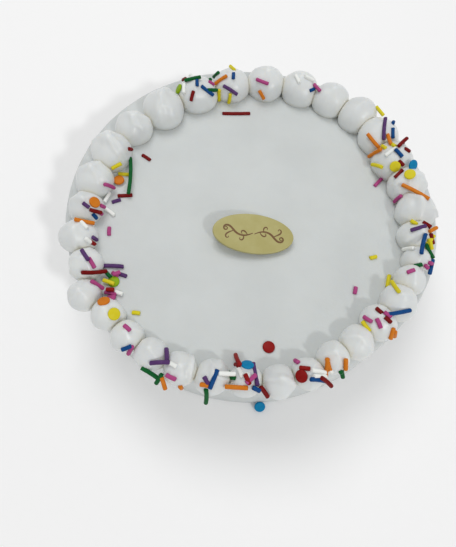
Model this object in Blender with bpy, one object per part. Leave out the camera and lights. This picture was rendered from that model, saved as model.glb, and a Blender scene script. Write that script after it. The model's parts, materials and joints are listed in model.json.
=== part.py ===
"""Round iced cake with a crowded ring of piped kisses, sugar sprinkles and an oval plaque.

Metres, +Z up. The origin is the centre of the flat base. +Y points to the back of the cake.
"""

import math
import random
from dataclasses import dataclass

import bmesh
import bpy
from mathutils import Matrix, Vector

MM = 0.001
GAP = 0.3 * MM

# The iced body: an eight-inch cake with its coat of icing
CAKE_RADIUS = 102 * MM
CAKE_HEIGHT = 43 * MM
RIM_ROUNDING = 5 * MM
RIM_STEPS = 3
FOOT_ROUNDING = 1.5 * MM
CAKE_SEGMENTS = 72
# How the spatula left the wall out of round: waves round the cake, swing, bearing of a crest
WALL_WAVES = ((2, 0.5 * MM, 20), (3, 0.4 * MM, 140), (5, 0.25 * MM, 60))

# The ring of kisses is a slightly oval loop, set a little towards the front
KISS_COUNT = 33
RING_CENTRE_Y = -8 * MM
RING_LONG_RADIUS = 93.5 * MM
RING_SHORT_RADIUS = 86 * MM
RING_LONG_BEARING = 60
FIRST_KISS_BEARING = 133
# How often the ring is walked round until its bearings no longer change
SETTLING_ROUNDS = 15
# Kisses are widest at the back left and smallest at the front
SPACING_SWING = 0.22
WIDE_SIDE_BEARING = 103
# Kisses of another size than their neighbours, and those piped inside or outside the line
SIZE_QUIRKS = {
    1: 1.15, 2: 1.1, 6: 0.95, 7: 0.95, 10: 0.95, 12: 0.9, 13: 0.75, 14: 0.85, 15: 1.05,
    16: 1.05, 17: 1.05, 20: 1.05, 21: 1.05, 22: 1.1, 23: 1.05, 25: 0.95, 26: 0.95, 27: 0.9,
    28: 0.95, 30: 0.9, 32: 1.1,
}
LINE_QUIRKS = {
    1: -2 * MM, 2: -2 * MM, 8: -2 * MM, 9: -4 * MM, 10: -2 * MM, 13: 2 * MM, 14: 2 * MM,
    15: 2 * MM, 19: 2 * MM, 20: 2 * MM, 27: 5 * MM, 29: 2 * MM,
}
# A kiss is wider than its share of the ring, most of all at the right
CROWDING = 1.12
CROWDING_RIGHT = 0.09
CROWDING_SIDES = 0.06
CROWDED_BEARING = 12

# The form of one kiss, as shares of its width or height
HEIGHT_PER_WIDTH = 0.66
LEAST_HEIGHT = 11.5 * MM
WIDEST_LEVEL = 0.26
BELLY_DEPTH = 0.52
TIP_RISE = 0.07
TIP_WIDTH = 0.3
LUMPS = ((2, 0.03), (3, 0.02), (5, 0.012))
LEAN = 0.9 * MM
HEIGHT_SPREAD = 0.05
KISS_SEGMENTS = 14
KISS_RINGS = (20, 42, 64, 86, 108, 132, 156)
KISS_SEED = 11
# Angle in radians between the points that give a surface's slope
SLOPE_STEP = 0.01
# Points closer than this are one point on a cut, in metres
CUT_MERGE = 1e-7

# Sprinkles: short sugar rods and a few flat discs, pressed half into the icing
ROD_RADIUS = 1.08 * MM
ROD_SIDES = 6
ROD_TIP = 0.5 * MM
ROD_SIT = 0.35 * MM
ROD_LENGTHS = (4, 7, 5)
SHORTEST_ROD = 3.6 * MM
SHORTENING = 0.85
DISC_RADIUS = 2.95 * MM
DISC_THICKNESS = 1.4 * MM
DISC_SIDES = 8
DISC_SIT = 0.3 * MM
SPRINKLE_SEED = 29
SPRINKLE_SPACING = 2.8 * MM
# Strewn small rods: kiss, how many, and the compass bearing of the side where they gather
STREWN = {
    2: (5, 120), 3: (3, 230), 4: (1, 260), 5: (4, 330), 8: (3, 320), 9: (5, 200), 10: (2, 200),
    11: (1, 250), 12: (5, 340), 13: (2, 300), 14: (1, 170), 16: (6, 240), 18: (3, 290),
    19: (4, 340), 21: (6, 150), 22: (3, 240), 23: (3, 240), 24: (1, 290), 25: (3, 290),
    26: (1, 85), 28: (2, 20), 29: (4, 345), 30: (5, 340), 32: (2, 330),
}
STREWN_SPREAD = 45
STREWN_FALL = (12, 80)
# Sprinkles that catch the eye, on a kiss: kiss, bearing, fall from the tip, turn from level in
# degrees, and length in millimetres, or none for a disc
LAID_ON_KISSES = (
    (2, 190, 60, 0, None), (2, 160, 10, 115, 10), (2, 330, 40, 110, 9), (2, 350, 50, 135, 8),
    (3, 210, 40, 80, 9), (3, 270, 55, 155, 10), (3, 160, 65, 75, 8), (3, 95, 30, 105, 9),
    (3, 235, 85, 95, 8), (4, 250, 40, 0, 8), (7, 5, 60, 125, 8), (8, 260, 15, 100, 13),
    (8, 240, 55, 165, 11), (9, 330, 48, 0, None), (9, 260, 50, 0, None), (9, 170, 70, 80, 11),
    (9, 65, 45, 85, 8), (9, 210, 78, 35, 8), (10, 120, 22, 20, None), (11, 105, 40, 135, 19),
    (12, 180, 15, 105, 8), (12, 280, 50, 90, 10), (12, 312, 80, 130, 8), (13, 330, 75, 120, 10),
    (13, 140, 60, 85, 8), (15, 120, 40, 70, 10), (15, 255, 50, 30, 10), (18, 240, 60, 110, 11),
    (19, 320, 45, 125, 9), (19, 215, 40, 0, None), (20, 220, 80, 170, 8), (21, 90, 45, 0, None),
    (21, 20, 30, 175, 10), (21, 230, 55, 40, 12), (22, 280, 20, 60, 9), (23, 228, 82, 80, 8),
    (24, 0, 60, 5, 8), (24, 312, 55, 150, 9), (24, 262, 88, 145, 9), (26, 340, 35, 0, None),
    (26, 110, 30, 0, None), (27, 40, 65, 65, 8), (28, 320, 65, 135, 14), (29, 55, 40, 50, 10),
    (30, 0, 40, 0, None), (31, 335, 75, 120, 8), (31, 315, 75, 95, 8),
)
# On the flat top: x, y, turn from +X, and length in millimetres or none
LAID_ON_TOP = (
    (-15, 61, 8, 17), (13, -82, 0, None), (-66, -49, 5, 11), (-64, -56, 0, None),
    (-68, -6, 11, 8), (-71, 2, 0, None), (-66, 7, 98, 20), (-62, 21, 149, 6),
    (-71, -29, 100, 5), (65, -28, 20, 4), (55, -48, 80, 4), (-51, -71, 0, 4),
    (69, -40, 78, 7), (65, 19, 53, 7),
)
# On the wall: bearing, level, turn from level, lean back from upright, and length or none
LAID_ON_WALL = ((278, 4.5, 0, 35, None), (262, 9, 92, 0, 12))

# The oval plaque, propped on a dab of icing so that its back left edge is highest
PLAQUE_LENGTH = 42.5 * MM
PLAQUE_WIDTH = 21 * MM
PLAQUE_THICKNESS = 2.2 * MM
PLAQUE_EDGE = 0.5 * MM
PLAQUE_SEGMENTS = 28
PLAQUE_X = 1 * MM
PLAQUE_Y = -24.6 * MM
PLAQUE_TURN = 1.8
PLAQUE_TILT = 15
PLAQUE_TILT_BEARING = 25
PLAQUE_CLEARANCE = 1.0 * MM
DAB_SIZE = (10 * MM, 5 * MM, 4.7 * MM)
DAB_SEGMENTS = 16
DAB_RINGS = 8
DAB_SETBACK = 4 * MM


@dataclass
class Kiss:
    """One piped kiss of icing: where it stands and how it is shaped."""

    number: int
    x: float
    y: float
    half_width: float
    height: float
    lean: Vector
    lumps: list

    @property
    def name(self):
        return f"kiss_{self.number:02d}"

    @property
    def spot(self):
        return Vector((self.x, self.y, CAKE_HEIGHT))

    def point(self, bearing, fall):
        """Return the surface point at a compass bearing and an angle down from the tip."""
        side, rise = math.sin(fall), math.cos(fall)
        widest = WIDEST_LEVEL * self.height
        if rise > 0:
            tip = TIP_RISE * math.exp(-((side / TIP_WIDTH) ** 2))
            level = widest + (self.height - widest) * (rise + tip) / (1 + TIP_RISE)
        else:
            level = widest + BELLY_DEPTH * self.height * rise
        swell = 1 + side * side * sum(
            size * math.cos(count * bearing + phase) for count, size, phase in self.lumps
        )
        reach = self.half_width * side * swell
        shift = self.lean * (level / self.height) ** 2
        outward = Vector((math.cos(bearing), math.sin(bearing), 0))
        return self.spot + reach * outward + shift + Vector((0, 0, level))

    def normal(self, bearing, fall):
        """Return the outward direction of the surface there."""
        across = self.point(bearing + SLOPE_STEP, fall) - self.point(bearing - SLOPE_STEP, fall)
        down = self.point(bearing, fall + SLOPE_STEP) - self.point(bearing, fall - SLOPE_STEP)
        return down.cross(across).normalized()


def clear_scene():
    for obj in list(bpy.data.objects):
        bpy.data.objects.remove(obj, do_unlink=True)


def make_material(name, colour, roughness, metallic=0.0):
    material = bpy.data.materials.new(name)
    material.use_nodes = True
    shader = material.node_tree.nodes["Principled BSDF"]
    shader.inputs["Base Color"].default_value = (*colour, 1.0)
    shader.inputs["Roughness"].default_value = roughness
    shader.inputs["Metallic"].default_value = metallic
    return material


def add_object(name, mesh, material=None):
    obj = bpy.data.objects.new(name, mesh)
    bpy.context.scene.collection.objects.link(obj)
    if material:
        mesh.materials.append(material)
    return obj


def mesh_from(name, bm):
    mesh = bpy.data.meshes.new(name)
    bmesh.ops.recalc_face_normals(bm, faces=bm.faces)
    bm.to_mesh(mesh)
    bm.free()
    return mesh


def stacked_rings(rings, bottom, top):
    """Join closed rings of points, lowest first, between two poles."""
    bm = bmesh.new()
    loops = [[bm.verts.new(point) for point in ring] for ring in rings]
    count = len(loops[0])
    for lower, upper in zip(loops, loops[1:]):
        for i in range(count):
            j = (i + 1) % count
            bm.faces.new((lower[i], lower[j], upper[j], upper[i]))
    for pole, loop in ((bottom, loops[0]), (top, loops[-1])):
        centre = bm.verts.new(pole)
        for i in range(count):
            bm.faces.new((loop[i], loop[(i + 1) % count], centre))
    return bm


def wall_radius(bearing):
    waves = sum(
        swing * math.cos(count * (bearing - math.radians(crest)))
        for count, swing, crest in WALL_WAVES
    )
    return CAKE_RADIUS + waves


def cake_mesh(name, grow=0.0):
    """Turn the iced body, or the same form grown by a little all round."""
    profile = [(-FOOT_ROUNDING, -grow), (grow, FOOT_ROUNDING - grow), (grow, 0.5 * CAKE_HEIGHT)]
    for step in range(RIM_STEPS + 1):
        angle = 0.5 * math.pi * step / RIM_STEPS
        inset = (RIM_ROUNDING + grow) * math.cos(angle) - RIM_ROUNDING
        level = CAKE_HEIGHT - RIM_ROUNDING + (RIM_ROUNDING + grow) * math.sin(angle)
        profile.append((inset, level))
    rings = []
    for inset, level in profile:
        ring = []
        for i in range(CAKE_SEGMENTS):
            bearing = 2 * math.pi * i / CAKE_SEGMENTS
            reach = wall_radius(bearing) + inset
            ring.append((reach * math.cos(bearing), reach * math.sin(bearing), level))
        rings.append(ring)
    bm = stacked_rings(rings, (0, 0, -grow), (0, 0, CAKE_HEIGHT + grow))
    return mesh_from(name, bm)


def ring_reach(bearing):
    """Return the radius of the oval ring line at a bearing."""
    turn = bearing - math.radians(RING_LONG_BEARING)
    along = math.cos(turn) / RING_LONG_RADIUS
    across = math.sin(turn) / RING_SHORT_RADIUS
    return 1 / math.hypot(along, across)


def ring_bearings():
    """Walk round the ring until each kiss has its share and the last one meets the first."""
    start = math.radians(FIRST_KISS_BEARING)
    bearings = [start - 2 * math.pi * i / KISS_COUNT for i in range(KISS_COUNT)]
    shares = [1.0] * KISS_COUNT
    for _ in range(SETTLING_ROUNDS):
        shares = [
            (1 + SPACING_SWING * math.cos(bearing - math.radians(WIDE_SIDE_BEARING)))
            * SIZE_QUIRKS.get(i + 1, 1.0)
            for i, bearing in enumerate(bearings)
        ]
        steps = []
        for i in range(KISS_COUNT):
            j = (i + 1) % KISS_COUNT
            reach = ring_reach(bearings[i]) + ring_reach(bearings[j])
            steps.append((shares[i] + shares[j]) / reach)
        scale = 2 * math.pi / sum(steps)
        bearing = start
        for i in range(KISS_COUNT):
            bearings[i] = bearing
            bearing -= scale * steps[i]
    return bearings, [share * scale for share in shares]


def kiss_ring():
    """Return all the kisses, clockwise from the back left."""
    rng = random.Random(KISS_SEED)
    kisses = []
    bearings, shares = ring_bearings()
    for i, (bearing, share) in enumerate(zip(bearings, shares)):
        number = i + 1
        reach = ring_reach(bearing) + LINE_QUIRKS.get(number, 0.0)
        crowding = CROWDING + CROWDING_RIGHT * math.cos(bearing)
        crowding += CROWDING_SIDES * math.cos(2 * (bearing - math.radians(CROWDED_BEARING)))
        half_width = 0.5 * share * crowding
        height = max(2 * half_width * HEIGHT_PER_WIDTH, LEAST_HEIGHT)
        height *= 1 + rng.uniform(-HEIGHT_SPREAD, HEIGHT_SPREAD)
        lean_bearing = rng.uniform(0, 2 * math.pi)
        lean = Vector((math.cos(lean_bearing), math.sin(lean_bearing), 0)) * rng.uniform(0, LEAN)
        lumps = [(count, size, rng.uniform(0, 2 * math.pi)) for count, size in LUMPS]
        kisses.append(Kiss(
            number,
            reach * math.cos(bearing),
            reach * math.sin(bearing) + RING_CENTRE_Y,
            half_width,
            height,
            lean,
            lumps,
        ))
    return kisses


def pressed_planes(kisses, kiss):
    """Return the flat faces where a kiss is pressed against its two neighbours."""
    planes = []
    for offset in (-1, 1):
        other = kisses[(kiss.number - 1 + offset) % KISS_COUNT]
        towards = other.spot - kiss.spot
        distance = towards.length
        towards.normalize()
        shift = (kiss.half_width ** 2 - other.half_width ** 2) / (2 * distance)
        planes.append((kiss.spot + towards * (0.5 * distance + shift - 0.5 * GAP), towards))
    return planes


def cut_flat(bm, point, normal):
    """Cut away what lies beyond a plane and close the cut."""
    geometry = bm.verts[:] + bm.edges[:] + bm.faces[:]
    cut = bmesh.ops.bisect_plane(
        bm, geom=geometry, dist=CUT_MERGE, plane_co=point, plane_no=normal, clear_outer=True
    )
    edges = [item for item in cut["geom_cut"] if isinstance(item, bmesh.types.BMEdge)]
    if edges:
        bmesh.ops.holes_fill(bm, edges=edges, sides=0)


def kiss_object(kiss, kisses, cutter, material):
    rings = []
    for fall in reversed(KISS_RINGS):
        ring = []
        for i in range(KISS_SEGMENTS):
            bearing = 2 * math.pi * i / KISS_SEGMENTS
            ring.append(kiss.point(bearing, math.radians(fall)))
        rings.append(ring)
    bm = stacked_rings(rings, kiss.point(0, math.pi), kiss.point(0, 0))
    for point, normal in pressed_planes(kisses, kiss):
        cut_flat(bm, point, normal)
    overhangs = math.hypot(kiss.x, kiss.y) + kiss.half_width > CAKE_RADIUS - RIM_ROUNDING - MM
    if not overhangs:
        cut_flat(bm, Vector((0, 0, CAKE_HEIGHT + GAP)), Vector((0, 0, -1)))
    obj = add_object(kiss.name, mesh_from(kiss.name, bm), material)
    if overhangs:
        fit = obj.modifiers.new("Fit to the rim", "BOOLEAN")
        fit.operation = "DIFFERENCE"
        fit.object = cutter
        apply_modifiers(obj)
    return obj


def apply_modifiers(obj):
    depsgraph = bpy.context.evaluated_depsgraph_get()
    finished = bpy.data.meshes.new_from_object(obj.evaluated_get(depsgraph))
    rough = obj.data
    obj.modifiers.clear()
    obj.data = finished
    bpy.data.meshes.remove(rough)


def fuse(host, pieces):
    """Join small pieces to the solid that they lie on, and remove them."""
    if not pieces:
        return
    collection = bpy.data.collections.new("small_pieces")
    for piece in pieces:
        collection.objects.link(piece)
    join = host.modifiers.new("Fused", "BOOLEAN")
    join.operation = "UNION"
    join.operand_type = "COLLECTION"
    join.collection = collection
    apply_modifiers(host)
    for piece in pieces:
        bpy.data.objects.remove(piece, do_unlink=True)
    bpy.data.collections.remove(collection)


@dataclass
class Sprinkle:
    """One sugar rod, or one flat disc where it has no length."""

    centre: Vector
    along: Vector
    up: Vector
    length: float | None

    def key_points(self):
        """Return points along the rod, or round the disc, that must stay clear of neighbours."""
        if self.length is None:
            side = self.up.cross(self.along)
            return [self.centre + way * DISC_RADIUS for way in (self.along, -self.along, side, -side)]
        return [self.centre + self.along * (self.length * share) for share in (-0.5, -0.25, 0, 0.25, 0.5)]

    def margin(self):
        """Return how far the key points must stay from a neighbour."""
        return GAP + (ROD_RADIUS if self.length else 0.5 * DISC_THICKNESS)

    def solid(self):
        """Make the closed form: a rod with blunt ends, or a disc."""
        if self.length is None:
            turned = [(z, DISC_RADIUS) for z in (-0.5 * DISC_THICKNESS, 0.5 * DISC_THICKNESS)]
            sides, poles, axis, width = DISC_SIDES, 0.5 * DISC_THICKNESS, self.up, self.along
        else:
            half = 0.5 * self.length
            turned = [(-half + ROD_TIP, ROD_RADIUS), (half - ROD_TIP, ROD_RADIUS)]
            sides, poles, axis, width = ROD_SIDES, half, self.along, self.up
        across = axis.cross(width)
        rings = []
        for level, radius in turned:
            ring = []
            for i in range(sides):
                angle = 2 * math.pi * i / sides
                spoke = width * math.cos(angle) + across * math.sin(angle)
                ring.append(self.centre + axis * level + spoke * radius)
            rings.append(ring)
        bm = stacked_rings(rings, self.centre - axis * poles, self.centre + axis * poles)
        return add_object("sprinkle", mesh_from("sprinkle", bm))


def millimetres(length):
    return None if length is None else length * MM


def tangent(normal, turn):
    """Return the direction that lies on the surface, turned from level towards uphill."""
    level = Vector((0, 0, 1)).cross(normal)
    level = level.normalized() if level.length else Vector((1, 0, 0))
    uphill = normal.cross(level)
    return level * math.cos(turn) + uphill * math.sin(turn)


def sprinkle_at(spot, up, along, length):
    """Press a sprinkle into the surface at a spot."""
    sit = DISC_SIT if length is None else ROD_SIT
    return Sprinkle(spot + up * sit, along, up, length)


def is_clear(sprinkle, planes):
    """Tell whether a sprinkle on a kiss keeps off the neighbours and off the iced body."""
    margin = sprinkle.margin()
    for point in sprinkle.key_points():
        for spot, normal in planes:
            if (point - spot).dot(normal) > -margin:
                return False
        bearing = math.atan2(point.y, point.x)
        over_cake = math.hypot(point.x, point.y) < wall_radius(bearing) + margin + GAP
        if over_cake and point.z < CAKE_HEIGHT + GAP + margin:
            return False
    return True


def lay_on_kiss(kiss, planes, bearing, fall, turn, length):
    """Place a sprinkle by angles in degrees, shortened until it keeps to its kiss, or none."""
    bearing, fall = math.radians(bearing), math.radians(fall)
    spot, up = kiss.point(bearing, fall), kiss.normal(bearing, fall)
    sprinkle = sprinkle_at(spot, up, tangent(up, math.radians(turn)), millimetres(length))
    while not is_clear(sprinkle, planes):
        if sprinkle.length is None or sprinkle.length * SHORTENING < SHORTEST_ROD:
            return None
        sprinkle.length *= SHORTENING
    return sprinkle


def sprinkles_on(kiss, planes):
    """Return the sprinkles of one kiss: those laid by hand, then the strewn ones."""
    found = [
        lay_on_kiss(kiss, planes, *place) for number, *place in LAID_ON_KISSES if number == kiss.number
    ]
    sprinkles = [sprinkle for sprinkle in found if sprinkle]
    count, side = STREWN.get(kiss.number, (0, 0))
    rng = random.Random(SPRINKLE_SEED * KISS_COUNT + kiss.number)
    for _ in range(count):
        bearing = side + rng.uniform(-STREWN_SPREAD, STREWN_SPREAD)
        fall = rng.uniform(*STREWN_FALL)
        turn = rng.uniform(0, 180)
        sprinkle = lay_on_kiss(kiss, planes, bearing, fall, turn, rng.triangular(*ROD_LENGTHS))
        if sprinkle and all(
            (sprinkle.centre - other.centre).length > SPRINKLE_SPACING for other in sprinkles
        ):
            sprinkles.append(sprinkle)
    return sprinkles


def sprinkles_on_body():
    """Return the sprinkles that lie on the flat top and on the wall."""
    up = Vector((0, 0, 1))
    sprinkles = []
    for x, y, turn, length in LAID_ON_TOP:
        along = Vector((math.cos(math.radians(turn)), math.sin(math.radians(turn)), 0))
        spot = Vector((x * MM, y * MM, CAKE_HEIGHT))
        sprinkles.append(sprinkle_at(spot, up, along, millimetres(length)))
    for degrees, level, turn, lean, length in LAID_ON_WALL:
        bearing, rise = math.radians(degrees), math.radians(lean)
        outward = Vector((math.cos(bearing), math.sin(bearing), 0))
        spot = outward * wall_radius(bearing) + Vector((0, 0, level * MM))
        facing = outward * math.cos(rise) + up * math.sin(rise)
        along = tangent(facing, math.radians(turn))
        sprinkles.append(sprinkle_at(spot, facing, along, millimetres(length)))
    return sprinkles


def plaque_place():
    """Return the plaque's placement: turned in plan, then tilted towards its front right."""
    tilt, towards = math.radians(PLAQUE_TILT), math.radians(PLAQUE_TILT_BEARING)
    reach = 0.5 * math.hypot(PLAQUE_LENGTH * math.sin(towards), PLAQUE_WIDTH * math.cos(towards))
    lift = reach * math.sin(tilt) + 0.5 * PLAQUE_THICKNESS * math.cos(tilt) + PLAQUE_CLEARANCE
    spot = Vector((PLAQUE_X, PLAQUE_Y, CAKE_HEIGHT + lift))
    turn = Matrix.Rotation(math.radians(PLAQUE_TURN), 4, "Z")
    axis = Vector((math.cos(towards), math.sin(towards), 0))
    return Matrix.Translation(spot) @ turn @ Matrix.Rotation(tilt, 4, axis)


def plaque_object(material):
    half = 0.5 * PLAQUE_THICKNESS
    profile = (
        (-PLAQUE_EDGE, -half), (0.0, PLAQUE_EDGE - half), (0.0, half - PLAQUE_EDGE), (-PLAQUE_EDGE, half)
    )
    rings = []
    for inset, z in profile:
        ring = []
        for i in range(PLAQUE_SEGMENTS):
            angle = 2 * math.pi * i / PLAQUE_SEGMENTS
            x = (0.5 * PLAQUE_LENGTH + inset) * math.cos(angle)
            y = (0.5 * PLAQUE_WIDTH + inset) * math.sin(angle)
            ring.append((x, y, z))
        rings.append(ring)
    bm = stacked_rings(rings, (0, 0, -half), (0, 0, half))
    bm.transform(plaque_place())
    return add_object("plaque", mesh_from("plaque", bm), material)


def dab_object():
    """Make the dab of icing that props the plaque; its lower half is sunk in the cake."""
    bm = bmesh.new()
    bmesh.ops.create_uvsphere(bm, u_segments=DAB_SEGMENTS, v_segments=DAB_RINGS, radius=1.0)
    bm.transform(Matrix.Diagonal((*DAB_SIZE, 1.0)))
    turn = math.radians(PLAQUE_TURN)
    spot = Vector((PLAQUE_X, PLAQUE_Y, CAKE_HEIGHT))
    spot += DAB_SETBACK * Vector((-math.sin(turn), math.cos(turn), 0))
    bm.transform(Matrix.Translation(spot) @ Matrix.Rotation(turn, 4, "Z"))
    return add_object("dab", mesh_from("dab", bm))


def main():
    clear_scene()
    icing = make_material("white_icing", (0.61, 0.64, 0.64), 0.45)
    piped = make_material("piped_icing", (0.66, 0.69, 0.69), 0.4)
    chocolate = make_material("pale_chocolate", (0.44, 0.39, 0.17), 0.35)
    cake = add_object("iced_cake", cake_mesh("iced_cake"), icing)
    cutter = add_object("kiss_cutter", cake_mesh("kiss_cutter", GAP))
    kisses = kiss_ring()
    for kiss in kisses:
        solid = kiss_object(kiss, kisses, cutter, piped)
        fuse(solid, [sprinkle.solid() for sprinkle in sprinkles_on(kiss, pressed_planes(kisses, kiss))])
    bpy.data.objects.remove(cutter, do_unlink=True)
    fuse(cake, [dab_object()] + [sprinkle.solid() for sprinkle in sprinkles_on_body()])
    plaque_object(chocolate)


main()
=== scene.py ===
"""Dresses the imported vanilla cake: iced body, ring of piped kisses, sugar sprinkles and plaque.

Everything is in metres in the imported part's own frame: +Z up, the origin at the centre of the
flat base, +Y towards the back of the cake. Bearings are counted from +X towards +Y.
"""

import json
import logging
import random
from collections.abc import Callable, Iterator
from contextlib import contextmanager
from dataclasses import dataclass, field
from enum import Enum
from math import cos, hypot, pi, radians, sin

import bpy
import numpy as np
from mathutils import Matrix, Vector, noise

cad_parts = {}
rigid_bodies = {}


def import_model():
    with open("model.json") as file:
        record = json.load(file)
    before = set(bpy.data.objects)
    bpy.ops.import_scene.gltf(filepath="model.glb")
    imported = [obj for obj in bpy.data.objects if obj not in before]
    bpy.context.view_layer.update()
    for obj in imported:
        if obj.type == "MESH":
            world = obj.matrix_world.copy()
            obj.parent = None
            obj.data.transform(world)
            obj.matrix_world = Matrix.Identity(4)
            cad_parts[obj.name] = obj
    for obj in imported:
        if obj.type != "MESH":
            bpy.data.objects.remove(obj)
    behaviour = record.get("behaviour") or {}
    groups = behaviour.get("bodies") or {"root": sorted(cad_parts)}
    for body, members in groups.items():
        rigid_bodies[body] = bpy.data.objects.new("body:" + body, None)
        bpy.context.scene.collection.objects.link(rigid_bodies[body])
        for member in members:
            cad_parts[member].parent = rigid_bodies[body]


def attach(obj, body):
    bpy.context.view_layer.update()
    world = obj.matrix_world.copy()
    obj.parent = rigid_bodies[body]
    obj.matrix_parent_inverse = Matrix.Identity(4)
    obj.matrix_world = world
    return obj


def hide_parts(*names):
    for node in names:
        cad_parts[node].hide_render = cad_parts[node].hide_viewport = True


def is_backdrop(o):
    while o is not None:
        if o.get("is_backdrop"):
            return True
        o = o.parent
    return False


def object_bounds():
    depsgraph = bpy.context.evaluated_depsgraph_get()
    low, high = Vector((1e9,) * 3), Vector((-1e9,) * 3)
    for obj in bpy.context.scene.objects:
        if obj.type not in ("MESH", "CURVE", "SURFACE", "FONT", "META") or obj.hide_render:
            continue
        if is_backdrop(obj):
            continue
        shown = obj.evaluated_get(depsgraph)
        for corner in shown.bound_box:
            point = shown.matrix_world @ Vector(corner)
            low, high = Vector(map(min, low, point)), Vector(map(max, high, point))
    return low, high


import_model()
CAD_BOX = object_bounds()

MM = 0.001
BODY = "root"
# What counts as no length, and as no area of a cell
NO_LENGTH = 1e-6
NO_AREA = 1e-12
UP = Vector((0, 0, 1))

Array = np.ndarray
Material = bpy.types.Material
Piece = bpy.types.Object
Socket = bpy.types.NodeSocket
Rgb = tuple[int, int, int]
Span = tuple[float, float]
Triple = tuple[float, float, float]
Lamp = tuple[float, float, float, float, float]

log = logging.getLogger("vanilla_cake")


# Small tools of the bench


def linear(colour: Rgb) -> tuple[float, ...]:
    """Turn an 8-bit screen colour into the linear colour that shaders take.

    Args:
        colour: Red, green and blue from 0 to 255.

    Returns:
        Linear red, green and blue, and an alpha of one.
    """
    channels = [value / 255 for value in colour]
    straight = [c / 12.92 if c <= 0.04045 else ((c + 0.055) / 1.055) ** 2.4 for c in channels]
    return (*straight, 1.0)


def direction(bearing: float, rise: float = 0.0) -> Vector:
    """Return the way of a bearing and a rise from level, both in degrees."""
    turn, lift = radians(bearing), radians(rise)
    return Vector((cos(turn) * cos(lift), sin(turn) * cos(lift), sin(lift)))


def tangent(normal: Vector, turn: float) -> Vector:
    """Return the direction that lies on a surface.

    Args:
        normal: The surface's outward direction.
        turn: The turn from level towards uphill, in radians.

    Returns:
        The direction, of length one.
    """
    level = UP.cross(normal)
    level = level.normalized() if level.length > NO_LENGTH else Vector((1, 0, 0))
    return level * cos(turn) + normal.cross(level) * sin(turn)


def polar(reach: Array | float, bearing: Array) -> Array:
    """Return rows of x and y for reaches and bearings in radians."""
    return np.stack([reach * np.cos(bearing), reach * np.sin(bearing)], axis=1)


def deselect_all() -> None:
    """Leave nothing selected, so that the next operator acts on its own piece alone."""
    for obj in bpy.context.selected_objects:
        obj.select_set(False)


def select_only(*objects: Piece) -> Piece:
    """Select some objects alone.

    Args:
        objects: The objects, the active one first.

    Returns:
        The active object.
    """
    deselect_all()
    for obj in objects:
        obj.select_set(True)
    bpy.context.view_layer.objects.active = objects[0]
    return objects[0]


def new_piece(name: str, add: Callable[..., object], **settings: object) -> Piece:
    """Add a primitive and name it.

    Args:
        name: The piece's name.
        add: The operator that adds the primitive.
        settings: What the operator takes.

    Returns:
        The new object, selected alone.
    """
    deselect_all()
    add(**settings)
    obj = bpy.context.object
    obj.name = name
    obj.data.name = name
    return obj


@contextmanager
def editing(obj: Piece, action: str = "SELECT") -> Iterator[None]:
    """Work on one object in edit mode.

    Args:
        obj: The object to edit.
        action: Whether all of it or none of it is selected at first.
    """
    select_only(obj)
    bpy.ops.object.mode_set(mode="EDIT")
    bpy.ops.mesh.select_all(action=action)
    yield
    bpy.ops.object.mode_set(mode="OBJECT")


def points_of(obj: Piece) -> Array:
    """Return the mesh's vertices, one row each."""
    flat = np.empty(len(obj.data.vertices) * 3)
    obj.data.vertices.foreach_get("co", flat)
    return flat.reshape(-1, 3)


def set_points(obj: Piece, places: Array) -> None:
    """Move the mesh's vertices to new places."""
    obj.data.vertices.foreach_set("co", places.ravel())
    obj.data.update()


def outward_faces(obj: Piece) -> None:
    """Turn every face outwards."""
    with editing(obj):
        bpy.ops.mesh.normals_make_consistent(inside=False)


def modify(obj: Piece, kind: str, **settings: object) -> None:
    """Add one modifier and apply it.

    Args:
        obj: The mesh object.
        kind: The modifier's type.
        settings: Its own properties.
    """
    modifier = obj.modifiers.new(kind.lower(), kind)
    for name, value in settings.items():
        setattr(modifier, name, value)
    select_only(obj)
    bpy.ops.object.modifier_apply(modifier=modifier.name)


def place(obj: Piece, matrix: Matrix) -> None:
    """Put an object's place into its mesh, so that the object stays at the origin."""
    obj.data.transform(matrix @ obj.matrix_world)
    obj.matrix_world = Matrix.Identity(4)


def smooth(obj: Piece, angle: float = 60) -> None:
    """Shade smooth, with edges sharper than the angle, in degrees, left crisp."""
    select_only(obj)
    bpy.ops.object.shade_smooth_by_angle(angle=radians(angle))


def set_attribute(obj: Piece, name: str, values: Array) -> None:
    """Keep one number for each vertex, which a material can read."""
    layer = obj.data.attributes.new(name, "FLOAT", "POINT")
    layer.data.foreach_set("value", values.astype(np.float32))


def waviness(places: Array, size: float, seed: float, depth: float) -> Array:
    """Return smooth noise at each place: how wide its waves are, its seed and how deep it goes."""
    shift = Vector((seed, 2 * seed, 3 * seed))
    return depth * np.array([noise.noise(Vector(row) / size + shift) for row in places])


def kept_outside(distance: Array, fillet: Array | float) -> Array:
    """Push points that press on a form out of it, by their distance, with a fillet at the seam."""
    sunk = distance + fillet
    return 0.5 * (sunk + np.sqrt(sunk ** 2 + 4 * fillet ** 2)) - fillet


# Finishes


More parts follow.
